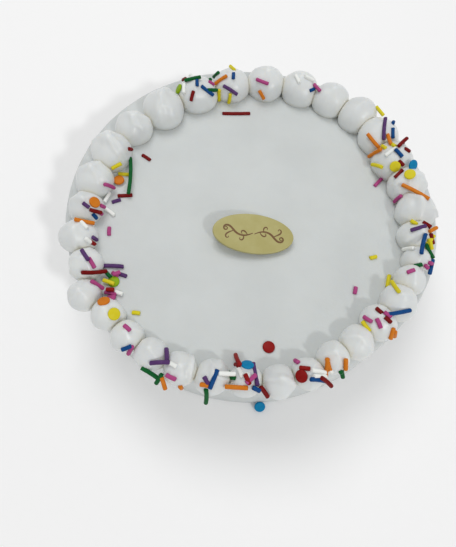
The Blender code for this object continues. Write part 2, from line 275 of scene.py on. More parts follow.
@dataclass
class Recipe:
    """A material that is being mixed, node by node."""

    name: str
    material: Material = field(init=False)
    shader: bpy.types.Node = field(init=False)
    coordinates: Socket = field(init=False)

    def __post_init__(self) -> None:
        """Start the material and its object coordinates."""
        self.material = bpy.data.materials.new(self.name)
        self.material.use_nodes = True
        self.shader = self.material.node_tree.nodes["Principled BSDF"]
        self.coordinates = self.node("ShaderNodeTexCoord").outputs["Object"]

    def node(self, kind: str, inputs: dict | None = None, **settings: object) -> bpy.types.Node:
        """Add a node.

        Args:
            kind: Blender's name for the node's type.
            inputs: Values, or sockets to link, by the input's name or number.
            settings: The node's own properties.

        Returns:
            The new node.
        """
        node = self.material.node_tree.nodes.new(kind)
        for name, value in settings.items():
            setattr(node, name, value)
        for name, value in (inputs or {}).items():
            self.feed(node.inputs[name], value)
        return node

    def feed(self, socket: Socket, value: object) -> None:
        """Set a socket, or link it where the value is another socket.

        Args:
            socket: The input that is fed.
            value: A value or a socket.
        """
        if isinstance(value, Socket):
            self.material.node_tree.links.new(value, socket)
        else:
            socket.default_value = value

    def mixed(self, values: dict[str, object]) -> Material:
        """Feed the shader's own sockets.

        Args:
            values: Values, or sockets to link, by the input's name.

        Returns:
            The material.
        """
        for name, value in values.items():
            self.feed(self.shader.inputs[name], value)
        return self.material

    def noise(self, scale: float, detail: float, roughness: float) -> Socket:
        """Return a noise of the given scale, in waves for each metre."""
        look = {"Scale": scale, "Detail": detail, "Roughness": roughness}
        return self.node("ShaderNodeTexNoise", {"Vector": self.coordinates, **look}).outputs["Fac"]

    def spread(self, value: Socket, source: Span, to: Span = (0.0, 1.0)) -> Socket:
        """Return a value stretched from one range to another, and held inside it."""
        inputs = {"Value": value, 1: source[0], 2: source[1], 3: to[0], 4: to[1]}
        return self.node("ShaderNodeMapRange", inputs, clamp=True).outputs["Result"]

    def blend(self, share: Socket, first: object, second: object) -> Socket:
        """Return a colour between two, by a share from 0 to 1."""
        inputs = {"Factor": share, 6: first, 7: second}
        return self.node("ShaderNodeMix", inputs, data_type="RGBA").outputs[2]

    def bump(self, height: Socket, relief: Span, under: Socket | None = None) -> Socket:
        """Return a bumped normal.

        Args:
            height: The pattern's height, from 0 to 1.
            relief: How strongly it shows, and how deep it is in metres.
            under: The normal of a coarser bump below it.

        Returns:
            The normal's socket.
        """
        inputs = {"Height": height, "Strength": relief[0], "Distance": relief[1]}
        if under:
            inputs["Normal"] = under
        return self.node("ShaderNodeBump", inputs).outputs["Normal"]


@dataclass(frozen=True)
class IcingFinish:
    """White vanilla icing: soft satin, faintly uneven, with a warm painted shade in the creases
    where it is pressed together.
    """

    name: str
    light: Rgb
    shade: Rgb
    crease: Rgb
    roughness: Span
    # Each noise has its waves for each metre, its detail and how rough that is
    clouds: Triple = (34.0, 3.0, 0.5)
    cloud_range: Span = (0.35, 0.65)
    grain: Triple = (900.0, 4.0, 0.6)
    grain_range: Span = (0.3, 0.7)
    grain_relief: Span = (0.5, 0.12 * MM)
    streaks: Triple = (160.0, 3.0, 0.5)
    streak_relief: Span = (0.35, 0.35 * MM)
    scatter: float = 0.5
    scatter_radius: Triple = (3.2, 2.9, 2.5)

    def material(self) -> Material:
        """Mix the finish and return its material."""
        recipe = Recipe(self.name)
        cloud = recipe.spread(recipe.noise(*self.clouds), self.cloud_range)
        colour = recipe.blend(cloud, linear(self.light), linear(self.shade))
        # The crease mask paints a warmer colour into the creases: painted shade
        crease = recipe.node("ShaderNodeAttribute", attribute_name="crease").outputs["Fac"]
        grain = recipe.noise(*self.grain)
        coarse = recipe.bump(recipe.noise(*self.streaks), self.streak_relief)
        return recipe.mixed({
            "Base Color": recipe.blend(crease, colour, linear(self.crease)),
            "Roughness": recipe.spread(grain, self.grain_range, self.roughness),
            "Normal": recipe.bump(grain, self.grain_relief, coarse),
            "Subsurface Weight": self.scatter,
            "Subsurface Radius": self.scatter_radius,
            "Subsurface Scale": MM,
        })


@dataclass(frozen=True)
class SugarFinish:
    """Dyed sugar: matte, a little grainy, its dye slightly uneven."""

    name: str
    colour: Rgb
    paler: float = 0.06
    gloss: float = 0.14
    roughness: Span = (0.42, 0.62)
    patches: Triple = (420.0, 2.0, 0.5)
    patch_range: Span = (0.4, 0.75)
    grain: Triple = (2600.0, 3.0, 0.6)
    grain_range: Span = (0.3, 0.7)
    grain_relief: Span = (0.6, 0.05 * MM)

    def material(self) -> Material:
        """Mix the finish and return its material."""
        recipe = Recipe(self.name)
        worn = linear(tuple(round(value + (255 - value) * self.paler) for value in self.colour))
        patch = recipe.spread(recipe.noise(*self.patches), self.patch_range)
        grain = recipe.noise(*self.grain)
        return recipe.mixed({
            "Base Color": recipe.blend(patch, linear(self.colour), worn),
            "Roughness": recipe.spread(grain, self.grain_range, self.roughness),
            "Normal": recipe.bump(grain, self.grain_relief),
            "Specular IOR Level": self.gloss,
        })


@dataclass(frozen=True)
class ChocolateFinish:
    """Chocolate: a soft gloss with a faint bloom and tiny pits from its mould."""

    name: str
    colour: Rgb
    bloom: Rgb
    roughness: Span = (0.34, 0.5)
    clouds: Triple = (120.0, 4.0, 0.6)
    cloud_range: Span = (0.4, 0.7)
    swell: Triple = (120.0, 1.0, 0.5)
    swell_relief: Span = (0.25, 0.3 * MM)
    pits: Triple = (1400.0, 3.0, 0.6)
    pit_relief: Span = (0.35, 0.06 * MM)

    def material(self) -> Material:
        """Mix the finish and return its material."""
        recipe = Recipe(self.name)
        cloud = recipe.spread(recipe.noise(*self.clouds), self.cloud_range)
        coarse = recipe.bump(recipe.noise(*self.swell), self.swell_relief)
        return recipe.mixed({
            "Base Color": recipe.blend(cloud, linear(self.colour), linear(self.bloom)),
            "Roughness": recipe.spread(cloud, (0.0, 1.0), self.roughness),
            "Normal": recipe.bump(recipe.noise(*self.pits), self.pit_relief, coarse),
        })


@dataclass(frozen=True)
class FloorFinish:
    """Plain pale paper under the cake."""

    name: str = "pale_floor"
    colour: tuple[float, ...] = (0.97, 0.97, 0.97, 1.0)
    roughness: float = 0.9
    gloss: float = 0.1

    def material(self) -> Material:
        """Return the floor's material."""
        values = {"Roughness": self.roughness, "Specular IOR Level": self.gloss}
        return Recipe(self.name).mixed({"Base Color": self.colour, **values})


class Dye(Enum):
    """The dyes of the sugar sprinkles, as screen colours."""

    RED = (136, 12, 10)
    DARK_RED = (114, 6, 6)
    ORANGE = (208, 118, 26)
    YELLOW = (216, 202, 36)
    LIME = (136, 170, 14)
    GREEN = (4, 88, 36)
    BLUE = (4, 66, 126)
    SKY = (2, 124, 174)
    PURPLE = (82, 50, 102)
    PINK = (172, 68, 126)
    WHITE = (240, 242, 238)


RED, DARK_RED, ORANGE, YELLOW, LIME, GREEN, BLUE, SKY, PURPLE, PINK, WHITE = Dye


# The studio


@dataclass
class Studio:
    """Camera, floor and soft light."""

    target: Vector = field(default_factory=lambda: Vector((-9.84, -25.92, 0)) * MM)
    distance: float = 276 * MM
    elevation: float = 65.1
    roll: float = 6.0
    sensor_height: float = 36.0
    lens: float = 450 / 547 * 36
    clip_start: float = 10 * MM
    floor_size: float = 8.0
    floor_level: float = -0.1 * MM
    sky: float = 0.5
    # Each lamp's bearing, elevation, distance, size across and watts
    key: Lamp = (-50, 43, 2.4, 0.2, 13.2)
    fill: Lamp = (115, 64, 1.5, 0.9, 7.3)

    def place_camera(self) -> None:
        """Set the camera where the photograph was taken from."""
        data = bpy.data.cameras.new("camera")
        data.sensor_fit = "VERTICAL"
        data.sensor_height = self.sensor_height
        data.lens = self.lens
        data.clip_start = self.clip_start
        camera = bpy.data.objects.new("camera", data)
        bpy.context.scene.collection.objects.link(camera)
        camera.matrix_world = (
            Matrix.Translation(self.target) @ Matrix.Rotation(radians(90 - self.elevation), 4, "X")
            @ Matrix.Rotation(radians(self.roll), 4, "Z") @ Matrix.Translation(UP * self.distance)
        )
        bpy.context.scene.camera = camera

    def lay_floor(self) -> None:
        """Lay the pale floor."""
        floor = new_piece(
            "floor", bpy.ops.mesh.primitive_plane_add,
            size=self.floor_size, location=(0, 0, self.floor_level),
        )
        floor.data.materials.append(FloorFinish().material())
        floor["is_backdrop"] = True

    def hang_lamp(self, name: str, lamp: Lamp) -> None:
        """Hang one soft lamp that points at the cake.

        Args:
            name: The lamp's name.
            lamp: Its bearing, elevation, distance, size and watts.
        """
        bearing, elevation, distance, size, watts = lamp
        data = bpy.data.lights.new(name, "AREA")
        data.shape = "DISK"
        data.size = size
        data.energy = watts
        towards = direction(bearing, elevation)
        obj = bpy.data.objects.new(name, data)
        bpy.context.scene.collection.objects.link(obj)
        aim = towards.to_track_quat("Z", "Y").to_matrix().to_4x4()
        obj.matrix_world = Matrix.Translation(towards * distance) @ aim

    def light(self) -> None:
        """Light the cake from all round, most from the front right."""
        world = bpy.data.worlds.new("studio")
        world.use_nodes = True
        background = world.node_tree.nodes["Background"]
        background.inputs["Color"].default_value = (1.0, 1.0, 1.0, 1.0)
        background.inputs["Strength"].default_value = self.sky
        bpy.context.scene.world = world
        self.hang_lamp("key", self.key)
        self.hang_lamp("fill", self.fill)
        bpy.context.scene.view_settings.view_transform = "Standard"

    def build(self) -> None:
        """Set up the whole studio."""
        self.place_camera()
        self.lay_floor()
        self.light()


# The iced body


@dataclass
class IcedBody:
    """The round cake under its coat of icing, with the dab that props the plaque."""

    radius: float = 102 * MM
    height: float = 43 * MM
    rim: float = 5 * MM
    foot: float = 1.5 * MM
    # How the spatula left the wall out of round: waves round the cake, swing, bearing of a crest
    wall_waves: tuple[Triple, ...] = (
        (2, 0.5 * MM, 20), (3, 0.4 * MM, 140), (5, 0.25 * MM, 60)
    )
    # How fast the waves die down from the wall to the middle, as a power of the radius
    wave_power: int = 4
    # Roughness of the wall and sway of the top: how wide the waves are, seed and depth
    wall_roughness: tuple[Triple, ...] = ((9 * MM, 3.1, 0.28 * MM), (2.6 * MM, 7.7, 0.12 * MM))
    top_sway: Triple = (34 * MM, 1.7, 0.16 * MM)
    # The wall is rough beyond a share of the radius, in full from this far above its foot
    rough_from: float = 0.93
    rough_above: float = 2 * MM
    # The top, this deep, sways within a share of the radius, and less where it comes near it
    sway_depth: float = 0.5 * MM
    sway_within: float = 0.97
    sway_fade: float = 8 * MM
    # How finely the body is turned, and the rings round the axis that close into poles
    around: int = 288
    foot_steps: int = 3
    wall_steps: int = 20
    rim_steps: int = 8
    top_steps: int = 40
    pole: float = 1 * MM
    slack: float = 0.1 * MM
    dab_size: Triple = (10 * MM, 5 * MM, 4.7 * MM)
    dab_setback: float = 4 * MM
    dab_segments: int = 48

    def reach(self, bearing: Array | float) -> Array | float:
        """Return the wall's radius at a bearing in radians."""
        return self.radius + sum(
            swing * np.cos(count * (bearing - radians(crest)))
            for count, swing, crest in self.wall_waves
        )

    def outside(self, places: Array) -> tuple[Array, Array]:
        """Tell how far points lie outside the icing.

        Args:
            places: Rows of x, y and z.

        Returns:
            The distance of each, below zero inside, and the direction straight out.
        """
        x, y, z = places.T
        bearing = np.arctan2(y, x)
        across = np.hypot(x, y) - (self.reach(bearing) - self.rim)
        above = z - (self.height - self.rim)
        corner = np.hypot(np.maximum(across, 0), np.maximum(above, 0))
        distance = corner + np.minimum(np.maximum(across, above), 0) - self.rim
        rounded = (across > 0) & (above > 0)
        size = np.where(rounded, corner, 1.0)
        side = np.where(rounded, across / size, (across > above).astype(float))
        lift = np.where(rounded, above / size, (across <= above).astype(float))
        return distance, np.column_stack([polar(side, bearing), lift])

    def profile(self) -> list[Span]:
        """Return the cut outline as radius and level, from the base's middle to the top's."""
        rows = [(self.pole, 0.0)]
        for angle in np.linspace(0, pi / 2, self.foot_steps + 1):
            inset, lift = 1 - sin(angle), 1 - cos(angle)
            rows.append((self.radius - self.foot * inset, self.foot * lift))
        levels = np.linspace(self.foot, self.height - self.rim, self.wall_steps + 1)[1:]
        rows += [(self.radius, level) for level in levels]
        for angle in np.linspace(0, pi / 2, self.rim_steps + 1)[1:]:
            inset, drop = 1 - cos(angle), 1 - sin(angle)
            rows.append((self.radius - self.rim * inset, self.height - self.rim * drop))
        reaches = np.linspace(self.radius - self.rim, self.pole, self.top_steps + 1)[1:]
        return rows + [(reach, self.height) for reach in reaches]

    def turned_form(self) -> Piece:
        """Turn the body as on a lathe, by extruding a ring along the outline."""
        rows = self.profile()
        obj = new_piece(
            "iced_body", bpy.ops.mesh.primitive_circle_add,
            vertices=self.around, radius=rows[0][0], fill_type="NOTHING",
        )
        with editing(obj):
            for (radius, level), (next_radius, next_level) in zip(rows, rows[1:]):
                bpy.ops.mesh.extrude_region_move(
                    TRANSFORM_OT_translate={"value": (0, 0, next_level - level)}
                )
                ratio = next_radius / radius
                bpy.ops.transform.resize(
                    value=(ratio, ratio, 1), center_override=(0, 0, next_level)
                )
        for level in (0, self.height):
            self.close_pole(obj, level)
        outward_faces(obj)
        return obj

    def close_pole(self, obj: Piece, level: float) -> None:
        """Merge the ring of vertices round the axis at a level.

        Args:
            obj: The turned body.
            level: How high the ring lies.
        """
        x, y, z = points_of(obj).T
        ring = (np.hypot(x, y) < self.pole + self.slack) & (np.abs(z - level) < self.slack)
        with editing(obj, "DESELECT"):
            bpy.ops.mesh.select_mode(type="VERT")
        obj.data.vertices.foreach_set("select", ring)
        bpy.ops.object.mode_set(mode="EDIT")
        bpy.ops.mesh.merge(type="CENTER")
        bpy.ops.object.mode_set(mode="OBJECT")

    def spread_icing(self, obj: Piece) -> None:
        """Leave the unevenness of the spatula and of the hand in the coat.

        Args:
            obj: The turned body.
        """
        places = points_of(obj)
        x, y, z = places.T
        bearing, reach = np.arctan2(y, x), np.hypot(x, y)
        share = reach / self.radius
        moved = reach + (self.reach(bearing) - self.radius) * share ** self.wave_power
        wall = np.clip((share - self.rough_from) / (1 - self.rough_from), 0, 1)
        wall *= np.clip(z / self.rough_above, 0, 1)
        moved += wall * sum(waviness(places, *wave) for wave in self.wall_roughness)
        top = np.clip((self.sway_within * self.radius - reach) / self.sway_fade, 0, 1)
        top *= z > self.height - self.sway_depth
        level = z + top * waviness(places, *self.top_sway)
        set_points(obj, np.column_stack([polar(moved, bearing), level]))

    def add_dab(self, obj: Piece, plaque: "Plaque") -> None:
        """Join the dab of icing on which the plaque's back rests.

        Args:
            obj: The body.
            plaque: The plaque.
        """
        dab = new_piece(
            "dab", bpy.ops.mesh.primitive_uv_sphere_add,
            segments=self.dab_segments, ring_count=self.dab_segments // 2, radius=1.0,
        )
        turn = radians(plaque.turn)
        spot = Vector((plaque.x, plaque.y, self.height))
        spot += self.dab_setback * Vector((-sin(turn), cos(turn), 0))
        size = Matrix.Diagonal((*self.dab_size, 1.0))
        place(dab, Matrix.Translation(spot) @ Matrix.Rotation(turn, 4, "Z") @ size)
        modify(obj, "BOOLEAN", operation="UNION", object=dab)
        bpy.data.objects.remove(dab, do_unlink=True)

    def build(self, plaque: "Plaque") -> None:
        """Model and dress the body.

        Args:
            plaque: The plaque that lies on it.
        """
        obj = self.turned_form()
        self.spread_icing(obj)
        self.add_dab(obj, plaque)
        smooth(obj)
        # The coat's crease colour is a warm painted shade, but no crease mask is set on the body,
        # so it does not show
        # The coat's icing is the kisses' icing without the painted light that makes theirs lighter
        finish = IcingFinish(
            "smooth_icing", light=(209, 213, 212), shade=(204, 208, 207), crease=(211, 210, 200),
            roughness=(0.46, 0.6),
        )
        obj.data.materials.append(finish.material())
        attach(obj, BODY)
        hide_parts("iced_cake")
        log.info("iced body: %d faces", len(obj.data.polygons))


# The piped kisses


@dataclass
class Kiss:
    """One piped kiss of icing: where it stands and how it is shaped."""

    number: int
    x: float
    y: float
    base: float
    half_width: float
    height: float
    lean: Vector
    lumps: list[Triple]
    widest_level: float = 0.26
    belly_depth: float = 0.52
    tip_rise: float = 0.07
    tip_width: float = 0.3
    # How far to either side, in radians, a slope is measured
    probe: float = 0.01

    @property
    def name(self) -> str:
        """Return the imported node's name."""
        return f"kiss_{self.number:02d}"

    def swell(self, bearing: Array) -> Array:
        """Return what share the lumps add to the width at each bearing."""
        return sum(size * np.cos(count * bearing + phase) for count, size, phase in self.lumps)

    def surface(self, bearing: Array, fall: Array) -> Array:
        """Return surface points.

        Args:
            bearing: Compass bearings in radians.
            fall: Angles down from the tip in radians.

        Returns:
            One row of x, y and z for each pair.
        """
        side, rise = np.sin(fall), np.cos(fall)
        widest = self.widest_level * self.height
        tip = self.tip_rise * np.exp(-((side / self.tip_width) ** 2))
        crown = widest + (self.height - widest) * (rise + tip) / (1 + self.tip_rise)
        belly = widest + self.belly_depth * self.height * rise
        level = np.where(rise > 0, crown, belly)
        reach = self.half_width * side * (1 + side * side * self.swell(bearing))
        shift = (level / self.height) ** 2
        return np.stack([
            self.x + reach * np.cos(bearing) + self.lean.x * shift,
            self.y + reach * np.sin(bearing) + self.lean.y * shift,
            self.base + level,
        ], axis=1)

    def normals(self, bearing: Array, fall: Array) -> Array:
        """Return the outward directions.

        Args:
            bearing: Compass bearings in radians.
            fall: Angles down from the tip in radians.

        Returns:
            One row of length one for each pair.
        """
        probe = self.probe
        across = self.surface(bearing + probe, fall) - self.surface(bearing - probe, fall)
        down = self.surface(bearing, fall + probe) - self.surface(bearing, fall - probe)
        outward = np.cross(down, across)
        size = np.linalg.norm(outward, axis=1, keepdims=True)
        upright = np.stack([np.zeros(len(fall)), np.zeros(len(fall)), np.cos(fall)], axis=1)
        return np.where(size > NO_AREA, outward / np.maximum(size, NO_AREA), upright)

    def outside(self, places: Array) -> tuple[Array, Array]:
        """Tell roughly how far points lie outside this kiss.

        Args:
            places: Rows of x, y and z.

        Returns:
            The distance of each, below zero inside, and the direction away from its middle.
        """
        arm = places - np.array([self.x, self.y, self.base + self.widest_level * self.height])
        x, y, z = arm.T
        width = self.half_width * (1 + self.swell(np.arctan2(y, x)))
        tall = np.where(z > 0, 1 - self.widest_level, self.belly_depth) * self.height
        share = np.hypot(np.hypot(x, y) / width, z / tall)
        size = np.linalg.norm(arm, axis=1)
        return size * (1 - 1 / share), arm / size[:, None]

    def point(self, bearing: float, fall: float) -> Vector:
        """Return one surface point."""
        return Vector(self.surface(np.array([bearing]), np.array([fall]))[0])

    def normal(self, bearing: float, fall: float) -> Vector:
        """Return the outward direction at one point."""
        return Vector(self.normals(np.array([bearing]), np.array([fall]))[0])


@dataclass(frozen=True)
class Stroke:
    """A ridge, or a dent where its rise is below zero, drawn over one kiss.

    The path's points are a bearing and a fall from the tip, in degrees. Width is in degrees too,
    and the rise is in millimetres.
    """

    kiss: int
    path: tuple[Span, ...]
    width: float
    rise: float

    def relief(self, bearing: Array, fall: Array) -> Array:
        """Return how far the stroke lifts the surface, in metres.

        Args:
            bearing: Compass bearings in radians.
            fall: Angles down from the tip in radians.

        Returns:
            One height for each pair.
        """
        chart = polar(np.degrees(fall), bearing)
        turns, falls = np.array(self.path, dtype=float).T
        knots = polar(falls, np.radians(turns))
        nearest = np.full(len(chart), np.inf)
        for start, end in zip(knots, knots[1:]):
            along = end - start
            share = np.clip((chart - start) @ along / (along @ along), 0, 1)
            off = np.linalg.norm(chart - start - share[:, None] * along, axis=1)
            nearest = np.minimum(nearest, off)
        return self.rise * MM * np.exp(-((nearest / self.width) ** 2))


@dataclass(frozen=True)
class StrokeKind:
    """Strokes that piping leaves on every kiss: how many, and what each one is drawn from.

    The falls are where a stroke starts and where it bends, and the foot is where it ends. The
    bend has made a share of the whole twist. All but that share and the rise are in degrees.
    """

    count: int
    twist: float
    bend_share: float
    falls: Span
    foot: Span
    width: Span
    rise: Span

    def drawn(self, kiss: int, rng: random.Random) -> Iterator[Stroke]:
        """Draw the strokes for one kiss.

        Args:
            kiss: The kiss's number.
            rng: What they are drawn by.

        Yields:
            Each stroke.
        """
        for _ in range(self.count):
            start = rng.uniform(0, 360)
            twist = rng.uniform(-self.twist, self.twist)
            path = (
                (start, self.falls[0]), (start + self.bend_share * twist, self.falls[1]),
                (start + twist, rng.uniform(*self.foot)),
            )
            yield Stroke(kiss, path, rng.uniform(*self.width), rng.uniform(*self.rise))


@dataclass
class KissRing:
    """The crowded ring of kisses: a slightly oval loop, set a little towards the front."""

    body: IcedBody
    count: int = 33
    centre_y: float = -8 * MM
    long_radius: float = 93.5 * MM
    short_radius: float = 86 * MM
    long_bearing: float = 60
    first_bearing: float = 133
    settling_rounds: int = 15
    # Kisses are widest at the back left and smallest at the front
    spacing_swing: float = 0.22
    wide_side_bearing: float = 103
    # Kisses of another size than their neighbours, and those piped inside or outside the line
    size_quirks: dict[int, float] = field(default_factory=lambda: {
        1: 1.15, 2: 1.1, 6: 0.95, 7: 0.95, 10: 0.95, 12: 0.9, 13: 0.75, 14: 0.85, 15: 1.05,
        16: 1.05, 17: 1.05, 20: 1.05, 21: 1.05, 22: 1.1, 23: 1.05, 25: 0.95, 26: 0.95, 27: 0.9,
        28: 0.95, 30: 0.9, 32: 1.1,
    })
    line_quirks: dict[int, float] = field(default_factory=lambda: {
        1: -2 * MM, 2: -2 * MM, 8: -2 * MM, 9: -4 * MM, 10: -2 * MM, 13: 2 * MM, 14: 2 * MM,
        15: 2 * MM, 19: 2 * MM, 20: 2 * MM, 27: 5 * MM, 29: 2 * MM,
    })
    # A kiss is wider than its share of the ring, most of all at the right
    crowding: float = 1.12
    crowding_right: float = 0.09
    crowding_sides: float = 0.06
    crowded_bearing: float = 12
    height_per_width: float = 0.66
    least_height: float = 11.5 * MM
    height_spread: float = 0.05
    most_lean: float = 0.9 * MM
    lumps: tuple[tuple[int, float], ...] = ((2, 0.03), (3, 0.02), (5, 0.012))
    # Broad ridges and narrow folds of every kiss
    strokes: tuple[StrokeKind, ...] = (
        StrokeKind(3, 30, 0.5, (8, 34), (50, 74), (9, 15), (0.45, 0.95)),
        StrokeKind(2, 50, 0.4, (4, 28), (45, 70), (4, 6), (0.2, 0.4)),
    )
    # How wide the waves of the icing are, their seed and how deep they go
    unevenness: Triple = (6 * MM, 5.3, 0.24 * MM)
    seed: int = 11
    # How finely a kiss is modelled
    segments: int = 96
    rings: int = 60
    # The first kiss that was piped: each one after it lies a little over the one before
    first_piped: int = 2
    # Kisses that show the nozzle's swirl, and how much of it is left on the smoother ones
    swirled: frozenset[int] = frozenset({1, 10, 11, 12, 20, 22, 30, 31, 32, 33})
    calm: float = 0.45
    # How softly a kiss meets its neighbour, the flat top, and the wall where it hangs over
    neighbour_fillet: float = 0.55 * MM
    foot_fillet: float = 0.12 * MM
    wall_fillet: float = 1.5 * MM
    # How far the warm painted shade of a crease reaches, and how strongly it is painted at a kiss's
    # foot
    crease_width: float = 1.1 * MM
    foot_crease_shade: float = 0.8
    # How far the foot of a kiss spreads on the flat top, and how high up that reaches
    foot_spread: float = 0.8 * MM
    foot_rise: float = 0.9 * MM
    # Share and rounds of the last smoothing, and the angle in degrees above which an edge is crisp
    softening: tuple[float, int] = (0.4, 2)
    crisp: float = 80
    kisses: list[Kiss] = field(init=False)

    def __post_init__(self) -> None:
        """Lay out the ring."""
        self.kisses = self.laid_out()

    def line_reach(self, bearing: float) -> float:
        """Return the radius of the oval ring line at a bearing in radians."""
        turn = bearing - radians(self.long_bearing)
        return 1 / hypot(cos(turn) / self.long_radius, sin(turn) / self.short_radius)

    def settled_bearings(self) -> tuple[list[float], list[float]]:
        """Walk round the ring until each kiss has its share and the last one meets the first.

        Returns:
            The bearings in radians, and the widths of the shares in metres.
        """
        start = radians(self.first_bearing)
        bearings = [start - 2 * pi * i / self.count for i in range(self.count)]
        for _ in range(self.settling_rounds):
            shares = [
                (1 + self.spacing_swing * cos(bearing - radians(self.wide_side_bearing)))
                * self.size_quirks.get(i + 1, 1.0)
                for i, bearing in enumerate(bearings)
            ]
            reaches = [self.line_reach(bearing) for bearing in bearings]
            steps = [
                (shares[i] + shares[i + 1 - self.count])
                / (reaches[i] + reaches[i + 1 - self.count])
                for i in range(self.count)
            ]
            scale = 2 * pi / sum(steps)
            bearing = start
            for i in range(self.count):
                bearings[i] = bearing
                bearing -= scale * steps[i]
        return bearings, [share * scale for share in shares]

    def laid_out(self) -> list[Kiss]:
        """Return all the kisses, clockwise from the back left."""
        rng = random.Random(self.seed)
        kisses = []
        for number, (bearing, share) in enumerate(zip(*self.settled_bearings()), 1):
            reach = self.line_reach(bearing) + self.line_quirks.get(number, 0.0)
            aside = bearing - radians(self.crowded_bearing)
            crowding = self.crowding + self.crowding_right * cos(bearing)
            half_width = 0.5 * share * (crowding + self.crowding_sides * cos(2 * aside))
            height = max(2 * half_width * self.height_per_width, self.least_height)
            height *= 1 + rng.uniform(-self.height_spread, self.height_spread)
            turn = rng.uniform(0, 2 * pi)
            lean = Vector((cos(turn), sin(turn), 0)) * rng.uniform(0, self.most_lean)
            lumps = [(count, size, rng.uniform(0, 2 * pi)) for count, size in self.lumps]
            kisses.append(Kiss(
                number, reach * cos(bearing), reach * sin(bearing) + self.centre_y,
                self.body.height, half_width, height, lean, lumps,
            ))
        return kisses

    def neighbours(self, kiss: Kiss) -> list[Kiss]:
        """Return the kisses on either side of one."""
        return [self.kisses[(kiss.number - 1 + side) % self.count] for side in (-1, 1)]

    def turn_of(self, kiss: Kiss) -> int:
        """Return the kiss's turn in the order in which the ring was piped."""
        return (kiss.number - self.first_piped) % self.count

    def relief(self, kiss: Kiss, bearing: Array, fall: Array) -> Array:
        """Return how the piping left the surface uneven, in metres.

        Args:
            kiss: The kiss.
            bearing: Compass bearings in radians.
            fall: Angles down from the tip in radians.

        Returns:
            One height for each pair.
        """
        rng = random.Random(self.seed * self.count + kiss.number)
        drawn = [stroke for kind in self.strokes for stroke in kind.drawn(kiss.number, rng)]
        height = sum(stroke.relief(bearing, fall) for stroke in drawn)
        height *= 1.0 if kiss.number in self.swirled else self.calm
        by_hand = [stroke for stroke in HAND_STROKES if stroke.kiss == kiss.number]
        return height + sum(stroke.relief(bearing, fall) for stroke in by_hand)

    def press(self, kiss: Kiss, places: Array) -> tuple[Array, Array]:
        """Spread a kiss at its foot, and press it under the next one and onto the cake.

        Args:
            kiss: The kiss.
            places: Its free surface points.

        Returns:
            The pressed points, and how close each is to a crease, from 0 to 1, which sets its warm
            painted shade.
        """
        x, y, z = places.T
        edge = self.body.radius - self.body.rim
        over_wall = np.clip((np.hypot(x, y) - edge) / self.body.rim, 0, 1)
        arm = places[:, :2] - np.array([kiss.x, kiss.y])
        arm /= np.maximum(np.linalg.norm(arm, axis=1, keepdims=True), self.foot_rise)
        spread = np.exp(-np.maximum(z - kiss.base, 0) / self.foot_rise) * (1 - over_wall)
        places[:, :2] += self.foot_spread * spread[:, None] * arm
        # How much warm painted shade each point gets, by its nearness to a neighbour and to the
        # cake
        crease = np.zeros(len(places))
        for other in self.neighbours(kiss):
            distance, outward = other.outside(places)
            if self.turn_of(other) > self.turn_of(kiss):
                lifted = kept_outside(distance, self.neighbour_fillet)
                places = places + (lifted - distance)[:, None] * outward
                distance = lifted
            crease = np.maximum(crease, np.exp(-np.abs(distance) / self.crease_width))
        distance, outward = self.body.outside(places)
        fillet = self.foot_fillet + (self.wall_fillet - self.foot_fillet) * over_wall
        lifted = kept_outside(distance, fillet)
        places = places + (lifted - distance)[:, None] * outward
        foot = (1 - over_wall) * np.exp(-np.maximum(lifted, 0) / self.crease_width)
        return places, np.maximum(crease, self.foot_crease_shade * foot)

    def pipe(self, kiss: Kiss, material: Material) -> None:
        """Model one kiss in place of its plain solid.

        Args:
            kiss: The kiss.
            material: Its icing.
        """
        obj = new_piece(
            f"piped_{kiss.name}", bpy.ops.mesh.primitive_uv_sphere_add,
            segments=self.segments, ring_count=self.rings, radius=1.0,
        )
        x, y, z = points_of(obj).T
        bearing, fall = np.arctan2(y, x), np.arccos(np.clip(z, -1, 1))
        places = kiss.surface(bearing, fall)
        outward = kiss.normals(bearing, fall)
        places += outward * self.relief(kiss, bearing, fall)[:, None]
        places += outward * waviness(places, *self.unevenness)[:, None]
        places, crease = self.press(kiss, places)
        set_points(obj, places)
        # Keep the mask of the warm painted shade in the creases, for the icing to read
        set_attribute(obj, "crease", crease)
        factor, rounds = self.softening
        modify(obj, "SMOOTH", factor=factor, iterations=rounds)
        smooth(obj, self.crisp)
        obj.data.materials.append(material)
        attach(obj, BODY)
        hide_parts(kiss.name)

    def build(self) -> None:
        """Pipe the whole ring."""
        # The crease colour is a warm painted shade in the creases between kisses and at their feet
        # The kisses' icing is the coat's icing painted lighter: painted light for the light and
        # highlights that the domes catch
        finish = IcingFinish(
            "piped_icing", light=(225, 228, 227), shade=(217, 220, 220), crease=(228, 225, 212),
            roughness=(0.28, 0.42),
        )
        material = finish.material()
        for kiss in self.kisses:
            self.pipe(kiss, material)
        log.info("piped %d kisses", len(self.kisses))


# Ridges, folds and dents that the hand left on single kisses
HAND_STROKES = (
    Stroke(1, ((80, 25), (20, 12), (320, 30), (310, 62)), 12, 0.7),
    Stroke(33, ((60, 20), (0, 10), (320, 55)), 10, 0.8),
    Stroke(32, ((150, 30), (90, 14), (330, 40)), 12, 0.7),
    Stroke(32, ((200, 30), (230, 45)), 18, -0.6),
    Stroke(23, ((50, 74), (22, 48), (335, 46), (308, 74)), 8, 0.9),
    Stroke(23, ((35, 40), (350, 26), (315, 40)), 8, -0.35),
    Stroke(28, ((190, 45), (200, 75)), 18, -0.9),
    Stroke(21, ((0, 0), (90, 6)), 10, 1.0),
    Stroke(11, ((90, 50), (60, 25), (340, 35), (350, 70)), 8, 0.9),
    Stroke(11, ((350, 84), (352, 88)), 7, 1.6),
    Stroke(10, ((350, 40), (355, 85)), 9, 0.9),
)


# The sprinkles


@dataclass
class Sprinkle:
    """One sugar rod, or one flat disc where it has no length."""

    centre: Vector
    along: Vector
    up: Vector
    length: float | None
    dye: Dye
    bend: float = 0.0


